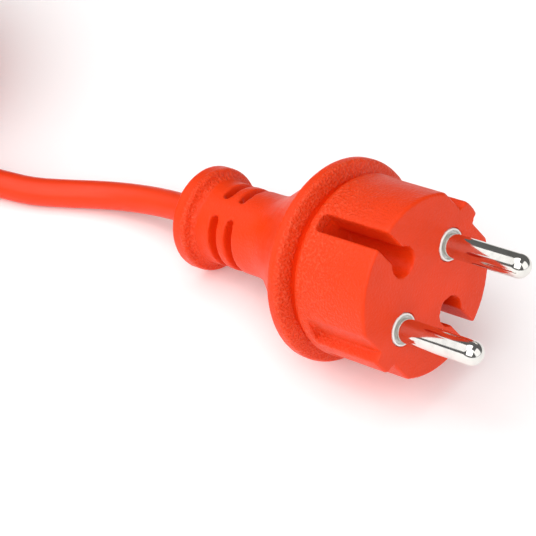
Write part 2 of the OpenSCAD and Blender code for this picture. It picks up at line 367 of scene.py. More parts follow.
ORANGE = (0.82, 0.045, 0.004)
FINISHES: dict[Slot, Moulded | Sheath | Metal | Stranded | Ribbed] = {
    # graded: the orange moulding's grain peaks carry a painted sparkle highlight.
    Slot.ORANGE: Moulded("orange_pvc", ORANGE, 0.4, 0.5, 0.2, 0.04, graded=True, glow=0.03, shine=0.22),
    Slot.CORD: Sheath("orange_sheath", (0.82, 0.047, 0.006)),
    Slot.WHITE: Moulded("white_nylon", (0.86, 0.85, 0.82), 0.22, 0.5, 0.004, 0.02, coat=0.3),
    Slot.GREY: Moulded("grey_nylon", (0.3, 0.31, 0.32), 0.38, 0.4, 0.02),
    Slot.BLACK: Moulded("black_nylon", (0.02, 0.02, 0.022), 0.42, 0.4, 0.035, 0.2),
    Slot.SEAL: Moulded("black_seal", (0.014, 0.014, 0.014), 0.62, 0.3, 0.02, 0.2),
    Slot.STRAP: Ribbed("strap_rubber", (0.022, 0.022, 0.023)),
    Slot.NICKEL: Metal("polished_nickel", (0.80, 0.78, 0.74), 0.09, Way.ALONG_X),
    Slot.BRASS: Metal("stamped_brass", (0.80, 0.58, 0.27), 0.24, Way.ALONG_X, 0.3, 0.006),
    Slot.COPPER: Stranded("copper_strands", (0.86, 0.42, 0.24)),
    Slot.BROWN: Moulded("brown_insulation", (0.11, 0.035, 0.014), 0.34, 0.5, 0.008, 0.1),
    Slot.BLUE: Moulded("blue_insulation", (0.02, 0.12, 0.45), 0.34, 0.5, 0.008, 0.1),
    Slot.STEEL: Metal("drawn_steel", (0.56, 0.56, 0.57), 0.22, Way.ALONG_Y, 0.3, 0.004),
    Slot.SPRING: Metal("spring_wire", (0.50, 0.50, 0.52), 0.26, Way.EVEN, 0.3, 0.004),
}


# ------------------------------------------------------------------------------------- solids


def arc(centre: tuple[float, float], radius: float, start: float, end: float, steps: int) -> Outline:
    """Points on an arc, with angles in degrees from the first axis towards the second."""
    turns = [math.radians(start + (end - start) * i / steps) for i in range(steps + 1)]
    return [(centre[0] + radius * math.cos(a), centre[1] + radius * math.sin(a)) for a in turns]


class Solid:
    """A closed mesh in millimetres, on its own axis along X, that becomes a piece in its place."""

    def __init__(self, mesh: bmesh.types.BMesh | None = None) -> None:
        """Takes a mesh, or starts an empty one."""
        self.mesh = mesh or bmesh.new()

    @classmethod
    def turned(cls, outline: Outline, closed: bool = False, steps: int = 144) -> "Solid":
        """Turns an outline of (x, radius) points about the X axis.

        Args:
            outline: The points, from axis to axis unless closed.
            closed: Whether the last point joins the first.
            steps: Facets round the axis.

        Returns:
            The solid.
        """
        mesh = bmesh.new()
        corners = [mesh.verts.new((x, 0, r)) for x, r in outline]
        following = corners[1:] + corners[:1] if closed else corners[1:]
        edges = [mesh.edges.new(pair) for pair in zip(corners, following)]
        bmesh.ops.spin(
            mesh,
            geom=corners + edges,
            cent=(0, 0, 0),
            axis=(1, 0, 0),
            angle=math.tau,
            steps=steps,
            use_merge=True,
        )
        bmesh.ops.remove_doubles(mesh, verts=mesh.verts, dist=SAME_POINT)
        bmesh.ops.recalc_face_normals(mesh, faces=mesh.faces)
        return cls(mesh)

    @classmethod
    def rod(
        cls, radius: float, start: float, end: float, y: float = 0, z: float = 0, sides: int = 64
    ) -> "Solid":
        """A cylinder along X, from start to end, at the distances y and z from the axis."""
        mesh = bmesh.new()
        place = Matrix.Translation(((start + end) / 2, y, z)) @ Matrix.Rotation(math.pi / 2, 4, "Y")
        bmesh.ops.create_cone(
            mesh,
            cap_ends=True,
            segments=sides,
            radius1=radius,
            radius2=radius,
            depth=end - start,
            matrix=place,
        )
        return cls(mesh)

    @classmethod
    def crossbar(
        cls, radius: float, start: float, end: float, x: float, z: float, sides: int = 48
    ) -> "Solid":
        """A cylinder along Y, from start to end, through (x, z)."""
        bar = cls.rod(radius, start, end, sides=sides).moved(Matrix.Rotation(math.pi / 2, 4, "Z"))
        return bar.moved(Matrix.Translation((x, 0, z)))

    @classmethod
    def block(cls, low: Sequence[float], high: Sequence[float]) -> "Solid":
        """A box from its lowest to its highest corner."""
        mesh = bmesh.new()
        middle = [(a + b) / 2 for a, b in zip(low, high)]
        size = Matrix.Diagonal([b - a for a, b in zip(low, high)]).to_4x4()
        bmesh.ops.create_cube(mesh, size=1, matrix=Matrix.Translation(middle) @ size)
        return cls(mesh)

    @classmethod
    def prism(cls, outline: Outline, start: float, end: float) -> "Solid":
        """An outline of (y, z) points, drawn out along X from start to end."""
        mesh = bmesh.new()
        face = mesh.faces.new([mesh.verts.new((start, y, z)) for y, z in outline])
        drawn = bmesh.ops.extrude_face_region(mesh, geom=[face])["geom"]
        moved = [v for v in drawn if isinstance(v, bmesh.types.BMVert)]
        bmesh.ops.translate(mesh, verts=moved, vec=(end - start, 0, 0))
        bmesh.ops.recalc_face_normals(mesh, faces=mesh.faces)
        return cls(mesh)

    def add(self, *others: "Solid") -> "Solid":
        """Joins other solids in, as loose parts of one mesh."""
        for other in others:
            loose = bpy.data.meshes.new("loose")
            other.mesh.to_mesh(loose)
            self.mesh.from_mesh(loose)
            bpy.data.meshes.remove(loose)
        return self

    def moved(self, place: Matrix) -> "Solid":
        """Moves and turns the solid."""
        bmesh.ops.transform(self.mesh, matrix=place, verts=self.mesh.verts)
        return self

    def mirrored(self) -> "Solid":
        """The same solid on the other side of the plane y = 0."""
        other = Solid(self.mesh.copy())
        bmesh.ops.transform(other.mesh, matrix=Matrix.Scale(-1, 4, (0, 1, 0)), verts=other.mesh.verts)
        bmesh.ops.reverse_faces(other.mesh, faces=other.mesh.faces)
        return other

    def scratch(self, name: str) -> bpy.types.Object:
        """Puts the mesh on an object that a modifier can work on."""
        mesh = bpy.data.meshes.new(name)
        self.mesh.to_mesh(mesh)
        item = bpy.data.objects.new(name, mesh)
        bpy.context.scene.collection.objects.link(item)
        return item

    def take(self, item: bpy.types.Object) -> "Solid":
        """Takes the mesh that an object's modifiers give, and removes the object."""
        shown = item.evaluated_get(bpy.context.evaluated_depsgraph_get())
        self.mesh.clear()
        self.mesh.from_mesh(shown.to_mesh())
        shown.to_mesh_clear()
        mesh = item.data
        bpy.data.objects.remove(item)
        bpy.data.meshes.remove(mesh)
        return self

    def combined(self, tool: "Solid", how: str) -> "Solid":
        """Cuts tool away from the solid or joins it on.

        Args:
            tool: The other solid, which may be loose parts that cross.
            how: DIFFERENCE or UNION.

        Returns:
            This solid.
        """
        item, other = self.scratch("worked"), tool.scratch("tool")
        boolean = item.modifiers.new("boolean", "BOOLEAN")
        boolean.operation, boolean.object, boolean.solver = how, other, "EXACT"
        boolean.use_self = True
        self.take(item)
        bpy.data.objects.remove(other)
        return self

    def softened(self, voxel: float, rounds: int) -> "Solid":
        """Rebuilds the mesh in small even faces and rubs its edges round.

        Args:
            voxel: Size of the faces.
            rounds: How often the surface is smoothed.

        Returns:
            This solid.
        """
        item = self.scratch("softened")
        even = item.modifiers.new("even", "REMESH")
        even.mode, even.voxel_size = "VOXEL", voxel
        rub = item.modifiers.new("rub", "SMOOTH")
        rub.factor, rub.iterations = 0.5, rounds
        return self.take(item)

    def bevelled(self, width: float, steps: int = 2, angle: float = 35) -> "Solid":
        """Rounds the edges that turn by more than angle degrees."""
        sharp = [e for e in self.mesh.edges if e.calc_face_angle(0) > math.radians(angle)]
        bmesh.ops.bevel(
            self.mesh,
            geom=sharp,
            offset=width,
            segments=steps,
            profile=0.5,
            affect="EDGES",
            material=-1,
            clamp_overlap=True,
        )
        return self

    def graded(self, amount: Callable[[Vector], float]) -> "Solid":
        """Stores how strong the moulded grain is at each point, 0 to 1; this also sets how strongly the
        grain's peaks carry the painted sparkle highlight.
        """
        layer = self.mesh.verts.layers.float.new("grain")
        for corner in self.mesh.verts:
            corner[layer] = amount(corner.co)
        return self

    def piece(
        self, name: str, place: Matrix, slot: Slot, stands_for: Sequence[str], body: Body = Body.ROOT
    ) -> bpy.types.Object:
        """Turns the solid into a shown piece.

        Args:
            name: Name of the piece.
            place: Where its own axis lies, in metres.
            slot: The finish.
            stands_for: CAD nodes that it replaces.
            body: The body that it rides on.

        Returns:
            The piece.
        """
        self.moved(place @ Matrix.Scale(MM, 4))
        mesh = bpy.data.meshes.new(name)
        self.mesh.to_mesh(mesh)
        self.mesh.free()
        mesh.shade_smooth()
        mesh.set_sharp_from_angle(angle=math.radians(SHARP_ANGLE))
        item = bpy.data.objects.new(name, mesh)
        bpy.context.scene.collection.objects.link(item)
        dress(item, slot)
        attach(item, body.value)
        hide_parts(*stands_for)
        LOG.info("%s: %d faces", name, len(mesh.polygons))
        return item


MATERIALS: dict[Slot, bpy.types.Material] = {}


def dress(item: bpy.types.Object, slot: Slot) -> None:
    """Gives a piece or a CAD node its finish.

    Args:
        item: The object.
        slot: Which finish.
    """
    if slot not in MATERIALS:
        MATERIALS[slot] = FINISHES[slot].material()
    item.data.materials.clear()
    item.data.materials.append(MATERIALS[slot])


# ---------------------------------------------------------------------------------- placement


def mount(name: str) -> dict:
    """One of the record's mounts."""
    return next(m for m in frame["record"]["mounts"] if m["name"] == name)


def seat(origin: Vector, along: Vector, across: Vector) -> Matrix:
    """A place with X along one direction and Y across it."""
    x, y = along.normalized(), across.normalized()
    place = Matrix((x, y, x.cross(y))).transposed().to_4x4()
    place.translation = origin
    return place


def plug_seat(pin_middle: float) -> Matrix:
    """Where the plug's face is, from its two pins.

    Args:
        pin_middle: Distance from the face to the middle of a pin's wall, in millimetres.

    Returns:
        The place, with X out of the face and Y towards the line pin.
    """
    line, neutral = (Vector(mount(name)["pos_m"]) for name in ("line_pin", "neutral_pin"))
    along = Vector(mount("line_pin")["axis"]).normalized()
    return seat((line + neutral) / 2 - along * pin_middle * MM, along, line - neutral)


def coupler_seat() -> Matrix:
    """Where the coupler's mouth is, with X out of it and Z towards the hinge."""
    mouth = mount("coupler_socket")
    return seat(Vector(mouth["pos_m"]), Vector(mouth["axis"]), Vector((0, -1, 0)))


PLUG = plug_seat(8.4)
COUPLER = coupler_seat()


# --------------------------------------------------------------------------------------- cord


@dataclass
class Cord:
    """The sheathed cord: a free run, a coil wound layer on layer, and a run to the coupler."""

    diameter: float = 6.0
    length: float = 5.0
    plug_end: float = 59.0
    coupler_end: float = 76.0
    centre: tuple[float, float] = (-145.0, -25.0)
    inner: float = 24.0
    wide: int = 4
    high: int = 6
    floor: float = 3.9
    crossing_at: float = 30.0
    crossing: float = 84.0
    bulge: float = 2.4
    points_in_turn: int = 24
    joins_at: float = -23.0
    leaves_at: float = 87.0

    def run(self) -> list[Vector]:
        """The run from the plug's collar over the floor to the coil."""
        start = [(-self.plug_end - x, 0, 0) for x in (0, 2.5, 5)]
        floor = [
            (-49, -0.5, 7), (-53, -1.1, 5.9), (-57, -2.2, 5), (-61, -3.7, 4.2), (-65, -5.8, 3.6),
            (-70, -9, 3.1), (-76, -13.1, 3), (-82, -15.7, 3), (-89, -18.6, 3), (-95.5, -23.8, 3.2),
            (-100.8, -31, 3.6),
        ]
        return [PLUG @ (Vector(p) * MM) for p in start] + [Vector(p) * MM for p in floor]

    def end_run(self) -> list[Vector]:
        """The run over the top of the coil into the coupler's collar."""
        over = [
            (-126, 12.4, 36.6), (-114, 3.3, 37.4), (-106.2, -9.2, 38.6), (-103.2, -22, 39.9),
            (-106.2, -34, 41.3), (-114.6, -42.6, 43.4),
        ]
        inside = [(-self.coupler_end - x, 0, 0) for x in (4, 1, -3)]
        return [Vector(p) * MM for p in over] + [COUPLER @ (Vector(p) * MM) for p in inside]

    def slots(self) -> list[tuple[float, float]]:
        """(radius, height) of each turn, in the order in which the cord fills them."""
        radii = [self.inner + self.diameter * i for i in range(self.wide)]
        return [
            (r, self.floor + self.diameter * layer)
            for layer in range(self.high)
            for r in (radii if layer % 2 else radii[::-1])
        ]

    def turn_point(self, turned: float) -> Vector:
        """A point of the coil.

        Args:
            turned: Degrees wound since the start of the first crossing, clockwise from above.

        Returns:
            The point, in metres.
        """
        slots = self.slots()
        turn, rest = divmod(max(turned, 0), 360)
        (r0, z0), (r1, z1) = slots[int(turn)], slots[int(turn) + 1]
        share = min(rest / self.crossing, 1.0)
        step = share * share * (3 - 2 * share)
        bulge = math.copysign(self.bulge, r0 - self.inner - 1) * math.sin(math.pi * step)
        radius = r0 + (r1 - r0) * step + (bulge if z1 > z0 else 0)
        angle = math.radians(self.crossing_at + self.crossing / 2 - turned)
        x, y = radius * math.cos(angle), radius * math.sin(angle)
        return Vector((self.centre[0] + x, self.centre[1] + y, z0 + (z1 - z0) * step)) * MM

    def winding(self) -> list[Vector]:
        """The coil's turns, from where the free run meets it to where the end run leaves it."""
        first = self.crossing_at + self.crossing / 2 - self.joins_at - 360
        last = 360 * (self.wide * self.high - 2) + self.crossing_at + self.crossing / 2 + 360 - self.leaves_at
        count = round((last - first) / 360 * self.points_in_turn)
        return [self.turn_point(first + (last - first) * i / count) for i in range(count + 1)]

    def make(self, on_it: Sequence[bpy.types.Object]) -> bpy.types.Object:
        """Args:
            on_it: The pieces that are on the cord; not used.

        Returns:
            The piece.
        """
        points = self.run() + self.winding() + self.end_run()
        curve = bpy.data.curves.new("cord", "CURVE")
        curve.dimensions = "3D"
        curve.resolution_u = 3
        curve.bevel_depth = self.diameter / 2 * MM
        curve.bevel_resolution = 5
        curve.use_fill_caps = True
        spline = curve.splines.new("BEZIER")
        spline.bezier_points.add(len(points) - 1)
        for knot, point in zip(spline.bezier_points, points):
            knot.co = point
            knot.handle_left_type = knot.handle_right_type = "AUTO"
        item = bpy.data.objects.new("cord", curve)
        bpy.context.scene.collection.objects.link(item)
        dress(item, Slot.CORD)
        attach(item, Body.ROOT.value)
        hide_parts("cord_run", "cord_coil", "cord_end_run")
        LOG.info("cord: %d points", len(points))
        return item


@dataclass
class Tie:
    """The rubber strap round the bundle of turns, with a tail that is tucked over itself."""

    width: float = 9.0
    thickness: float = 0.8
    at: float = 136.0
    corner: float = 2.2
    tail_at: float = 4.0
    tail: float = 13.0
    keeper_at: float = 8.0
    keeper: float = 3.0

    def make(self, cord: Cord) -> bpy.types.Object:
        """Builds the strap.

        Args:
            cord: The cord whose coil it holds.

        Returns:
            The piece.
        """
        r = cord.diameter / 2
        inside, outside = cord.inner - r, cord.inner + (cord.wide - 0.5) * cord.diameter
        low, high = cord.floor - r, cord.floor - r + cord.high * cord.diameter
        corners = [(outside, high, 0), (inside, high, 90), (inside, low, 180), (outside, low, 270)]
        outline: Outline = []
        for x, z, start in corners:
            cx = x - math.copysign(self.corner, x - cord.inner)
            cz = z - math.copysign(self.corner, z - (low + high) / 2)
            outline += arc((cx, cz), self.corner, start, start + 90, 6)
        band = Solid()
        rim = [band.mesh.verts.new((x, -self.width / 2, z)) for x, z in outline]
        edges = [band.mesh.edges.new(pair) for pair in zip(rim, rim[1:] + rim[:1])]
        drawn = bmesh.ops.extrude_edge_only(band.mesh, edges=edges)["geom"]
        moved = [v for v in drawn if isinstance(v, bmesh.types.BMVert)]
        bmesh.ops.translate(band.mesh, verts=moved, vec=(0, self.width, 0))
        bmesh.ops.recalc_face_normals(band.mesh, faces=band.mesh.faces)
        bmesh.ops.solidify(band.mesh, geom=band.mesh.faces, thickness=-self.thickness)
        half = self.width / 2
        top = high + self.thickness * 0.9
        tail_x, keeper_x = inside + self.tail_at, inside + self.keeper_at
        tail = Solid.block(
            (tail_x, -half + 0.6, top),
            (tail_x + self.tail, half - 0.6, top + self.thickness),
        )
        keeper = Solid.block(
            (keeper_x, -half - 0.7, top - 0.2),
            (keeper_x + self.keeper, half + 0.7, top + self.thickness * 1.7),
        )
        band.add(tail, keeper).bevelled(0.25)
        bmesh.ops.recalc_face_normals(band.mesh, faces=band.mesh.faces)
        centre = Vector((cord.centre[0], cord.centre[1], 0)) * MM
        place = Matrix.Translation(centre) @ Matrix.Rotation(math.radians(self.at), 4, "Z")
        return band.piece("tie_strap", place, Slot.STRAP, ["coil_tie"])


# --------------------------------------------------------------------------------------- plug


@dataclass
class Neck:
    """The flexible neck of a moulding, with strain-relief slots and a collar round the cord."""

    radius: float = 8.6
    collar_radius: float = 10.75
    lip: float = 0.8
    slot_width: float = 2.0
    slot_depth: float = 3.0
    slot_gap: float = 28.0
    slots_from_end: tuple[float, float] = (9.4, 13.7)

    def outline(self, end: float) -> Outline:
        """The neck from where it leaves the flare to the back of the collar at x = -end."""
        fillet = arc((5.4 - end, self.radius + 1.6), 1.6, -90, -162, 10)
        front = [
            (3.7 - end, self.collar_radius - 0.35),
            (3.3 - end, self.collar_radius - 0.08),
            (2.8 - end, self.collar_radius),
        ]
        back = arc((self.lip - end, self.collar_radius - self.lip), self.lip, 90, 180, 8)
        return fillet + front + back + [(-end, 0)]

    def slot(self, x: float) -> Solid:
        """One slot part of the way round, with round ends, on the side of -Y."""
        low, half = self.radius - self.slot_depth, self.slot_width / 2
        tail = self.slot_gap / 2 + math.degrees(math.asin(half / self.radius))
        mesh = bmesh.new()
        corners = [(x - half, low), (x + half, low), (x + half, low + 5), (x - half, low + 5)]
        face = mesh.faces.new([mesh.verts.new((a, 0, r)) for a, r in corners])
        turn = Matrix.Rotation(math.radians(tail), 4, "X")
        bmesh.ops.transform(mesh, matrix=turn, verts=mesh.verts)
        bmesh.ops.spin(
            mesh,
            geom=[face, *face.edges, *face.verts],
            cent=(0, 0, 0),
            axis=(1, 0, 0),
            angle=math.radians(180 - 2 * tail),
            steps=40,
        )
        bmesh.ops.remove_doubles(mesh, verts=mesh.verts, dist=SAME_POINT)
        bmesh.ops.recalc_face_normals(mesh, faces=mesh.faces)
        slot = Solid(mesh)
        for angle in (tail, 180 - tail):
            end = Solid.rod(half, low, low + 5, sides=32).moved(Matrix.Rotation(-math.pi / 2, 4, "Y"))
            end.moved(Matrix.Translation((x, 0, 0))).moved(Matrix.Rotation(math.radians(angle), 4, "X"))
            slot.add(end)
        return slot

    def slots(self, end: float) -> Solid:
        """The slots on both sides of a neck whose collar ends at x = -end."""
        cuts = Solid()
        for from_end in self.slots_from_end:
            one = self.slot(from_end - end)
            cuts.add(one, one.mirrored())
        return cuts

    def grain(self, x: float, r: float, end: float) -> float:
        """How strong the grain is on the neck: coarse in front of the collar, faint elsewhere. The same value
        sets the painted sparkle highlight on the grain's peaks.
        """
        near_collar = 2.8 - end < x < 7.0 - end and r > self.radius + 0.1
        return 0.85 if near_collar else 0.16


@dataclass
class PlugBody:
    """The plug's moulding: nose with flats and keyholes, splash flange, flare and neck."""

    nose: float = 18.25
    flange: float = 20.5
    flange_front: float = 20.1
    flange_back: float = 23.0
    back: float = 59.0
    key_radius: float = 3.075
    key_offset: float = 9.9
    key_slot: float = 3.7
    key_depth: float = 16.0
    flat: float = 16.05
    flat_depth: float = 15.2
    rib: float = 1.9
    ring: float = 3.33
    pin_y: float = 9.5
    voxel: float = 0.35

    def outline(self, neck: Neck) -> Outline:
        """The outside from the face to the back of the collar."""
        front, back, nose = self.flange_front, self.flange_back, self.nose
        return [
            (0, 0),
            *arc((-0.3, nose - 0.3), 0.3, 0, 90, 4),
            (2.4 - front, nose),
            (2.3 - front, 16.0),
            (0.8 - front, 15.8),
            (0.5 - front, 17.4),
            *arc((-1 - front, self.flange - 1), 1, 15, 90, 6),
            *arc((0.8 - back, self.flange - 0.8), 0.8, 90, 180, 6),
            (-back, 17.2),
            (-back - 2.6, 17),
            *arc((-41, neck.radius + 12), 12, -52, -90, 12),
            *neck.outline(self.back),
        ]

    def keyhole(self) -> Solid:
        """The hole for an earth pin and its slot, above the axis."""
        hole = Solid.rod(self.key_radius, -self.key_depth, 1, 0, self.key_offset)
        half = self.key_slot / 2
        return hole.add(Solid.block((-self.key_depth, -half, self.key_offset + 1), (1, half, 22)))

    def flats(self) -> Solid:
        """What is cut away beside the guide rib, on the side of +Y."""
        cuts = Solid()
        for side in (1, -1):
            corners = [(self.flat, 0.65 + self.rib), (20, self.rib - 0.2), (20, 12), (self.flat, 12)]
            cuts.add(Solid.prism([(y, side * z) for y, z in corners], -self.flat_depth, 1))
        return cuts

    def grain(self, point: Vector, neck: Neck) -> float:
        """How strong the moulded grain is at a point of the body, which also sets the painted sparkle
        highlight on its peaks.
        """
        x, r = point.x, math.hypot(point.y, point.z)
        on_nose = 3 - self.flange_front < x < -0.7 and r > self.flat - 0.3
        on_flange = -1.05 - self.flange_front < x < 0.9 - self.flange_front and r > 17.2
        if on_nose:
            return 0.35 - 0.65 * x / self.flange_front
        if on_flange:
            return 1.0
        if -self.back < x < -48:
            return neck.grain(x, r, self.back)
        return 0.22 if x > -0.3 else 0.3

    def make(self, neck: Neck) -> bpy.types.Object:
        """Builds the body.

        Args:
            neck: The flexible neck.

        Returns:
            The piece.
        """
        top = self.keyhole()
        under = self.keyhole().moved(Matrix.Rotation(math.pi, 4, "X"))
        cuts = neck.slots(self.back).add(top, under)
        near = self.flats()
        cuts.add(near, near.mirrored())
        for side in (1, -1):
            cuts.add(Solid.rod(self.ring, -6, 1, side * self.pin_y))
        body = Solid.turned(self.outline(neck)).combined(cuts, "DIFFERENCE").softened(self.voxel, 1)
        body.graded(lambda point: self.grain(point, neck))
        return body.piece("plug_moulding", PLUG, Slot.ORANGE, ["plug_body"])


@dataclass
class Pins:
    """The two contact pins and the white bridge that holds them."""

    radius: float = 2.4
    shank: float = 2.1
    crimp: float = 1.9
    length: float = 19.0
    back: float = 18.0
    pitch: float = 19.0
    ring: float = 3.28
    ring_back: float = 5.0
    ring_lip: float = 0.18
    ring_proud: float = 0.15
    bridge: tuple[float, float] = (13.0, 4.5)

    def pin_outline(self) -> Outline:
        """A pin from its tip to the mouth of its crimp barrel, and into the barrel."""
        return [
            *arc((self.length - self.radius, 0), self.radius, 0, 90, 14),
            (0.2, self.radius),
            (0.2, self.shank),
            (-8.7, self.shank),
            (-8.9, self.crimp),
            (-13.2, self.crimp),
            (-13.5, self.crimp - 0.22),
            (-15.5, self.crimp - 0.22),
            (-15.8, self.crimp),
            (-self.back, self.crimp),
            (-self.back, 1.0),
            (-12, 1.0),
            (-12, 0),
        ]

    def ring_outline(self) -> Outline:
        """The white ring round a pin, with its countersink."""
        proud, lip = self.ring_proud, self.ring_lip
        return [
            (-self.ring_back, self.shank),
            (-self.ring_back, self.ring),
            *arc((proud - lip, self.ring - lip), lip, 90, 0, 4),
            (proud, 2.95),
            (-0.45, 2.72),
            (-0.5, self.shank),
        ]

    def make(self) -> list[bpy.types.Object]:
        """Builds the pins and the bridge."""
        made = []
        for name, side in (("line_pin", 1), ("neutral_pin", -1)):
            pin = Solid.turned(self.pin_outline(), steps=72)
            place = PLUG @ Matrix.Translation((0, side * self.pitch / 2 * MM, 0))
            made.append(pin.piece(f"{name}_turned", place, Slot.NICKEL, [name]))
        y, z = self.bridge
        bridge = Solid.block((-9, -y, -z), (-4, y, z)).bevelled(0.6, 3)
        for side in (1, -1):
            hole = Solid.rod(self.shank, -10, 0, side * self.pitch / 2)
            bridge.combined(hole, "DIFFERENCE")
        for side in (1, -1):
            ring = Solid.turned(self.ring_outline(), closed=True, steps=72)
            bridge.add(ring.moved(Matrix.Translation((0, side * self.pitch / 2, 0))))
        made.append(bridge.piece("bridge_with_rings", PLUG, Slot.WHITE, ["pin_bridge"]))
        return made


# ------------------------------------------------------------------------------------ coupler


@dataclass
class CouplerBody:
    """The coupler's moulding: head with the plug recess, hinge ears, flare and neck."""

    head: float = 23.0
    head_length: float = 26.0
    back: float = 76.0
    recess: float = 19.75
    recess_depth: float = 18.1
    seat: float = 16.3
    seat_back: float = 32.0
    chamber: tuple[float, float, float] = (38.0, 13.8, 5.3)
    cap: tuple[float, float, float] = (41.3, 12.5, 4.7)
    hinge_x: float = 0.8
    hinge_z: float = 26.2
    knuckle: float = 2.4
    ear_sides: tuple[float, float] = (6.0, 10.0)
    ribs_apart: int = 12
    voxel: float = 0.45

    def outline(self, neck: Neck) -> Outline:
        """The outside from the mouth to the back of the collar."""
        head, end = self.head, self.head_length
        return [
            (0, 0),
            *arc((-0.5, head - 0.5), 0.5, 0, 90, 5),
            (-5, head),
            (-5.4, head - 0.7),
            (-6.4, head - 0.7),
            (-6.8, head),
            *arc((0.8 - end, head - 0.8), 0.8, 90, 150, 6),
            (-33, 19),
            *arc((-53, neck.radius + 12), 12, -52, -90, 12),
            *neck.outline(self.back),
        ]

    def grip_ribs(self) -> Solid:
        """Shallow grooves along the head, for a firm hold."""
        cuts = Solid()
        for angle in range(2 * self.ribs_apart, 360 - self.ribs_apart, self.ribs_apart):
            rib = Solid.rod(0.55, -self.head_length + 2.5, -9, 0, self.head + 0.25, 16)
            cuts.add(rib.moved(Matrix.Rotation(math.radians(angle), 4, "X")))
        return cuts

    def hollow(self) -> Solid:
        """The recess for a plug, and behind it the room for the insert and the cap of its chambers."""
        room = Solid.rod(self.recess, -self.recess_depth, 1, sides=128)
        room.add(Solid.rod(self.seat, -self.seat_back, -self.recess_depth + 1, sides=96))
        for back, y, z in (self.chamber, self.cap):
            room.add(Solid.block((-back, -y, -z), (-self.recess_depth + 1, y, z)))
        return room

    def ear(self) -> Solid:
        """One ear of the lid's hinge, on the side of +Y."""
        near, far = self.ear_sides
        round_end = Solid.crossbar(self.knuckle, near, far, self.hinge_x, self.hinge_z)
        foot = Solid.block((self.hinge_x - self.knuckle, near, 19), (-0.2, far, self.hinge_z))
        return round_end.combined(foot, "UNION")

    def grain(self, point: Vector, neck: Neck) -> float:
        """How strong the moulded grain is at a point of the body, which also sets the painted sparkle
        highlight on its peaks.
        """
        x, r = point.x, math.hypot(point.y, point.z)
        if -self.head_length < x < -0.6 and r > self.head - 0.4:
            return 0.9
        if x < -self.back + 11:
            return neck.grain(x, r, self.back)
        return 0.3

    def make(self, neck: Neck) -> bpy.types.Object:
        """Builds the body.

        Args:
            neck: The flexible neck.

        Returns:
            The piece.
        """
        body = Solid.turned(self.outline(neck))
        ear = self.ear()
        body.combined(ear.mirrored(), "UNION").combined(ear, "UNION")
        cuts = neck.slots(self.back).add(self.hollow(), self.grip_ribs())
        body.combined(cuts, "DIFFERENCE").softened(self.voxel, 3)
        body.graded(lambda point: self.grain(point, neck))
        return body.piece("coupler_moulding", COUPLER, Slot.ORANGE, ["coupler_body"])


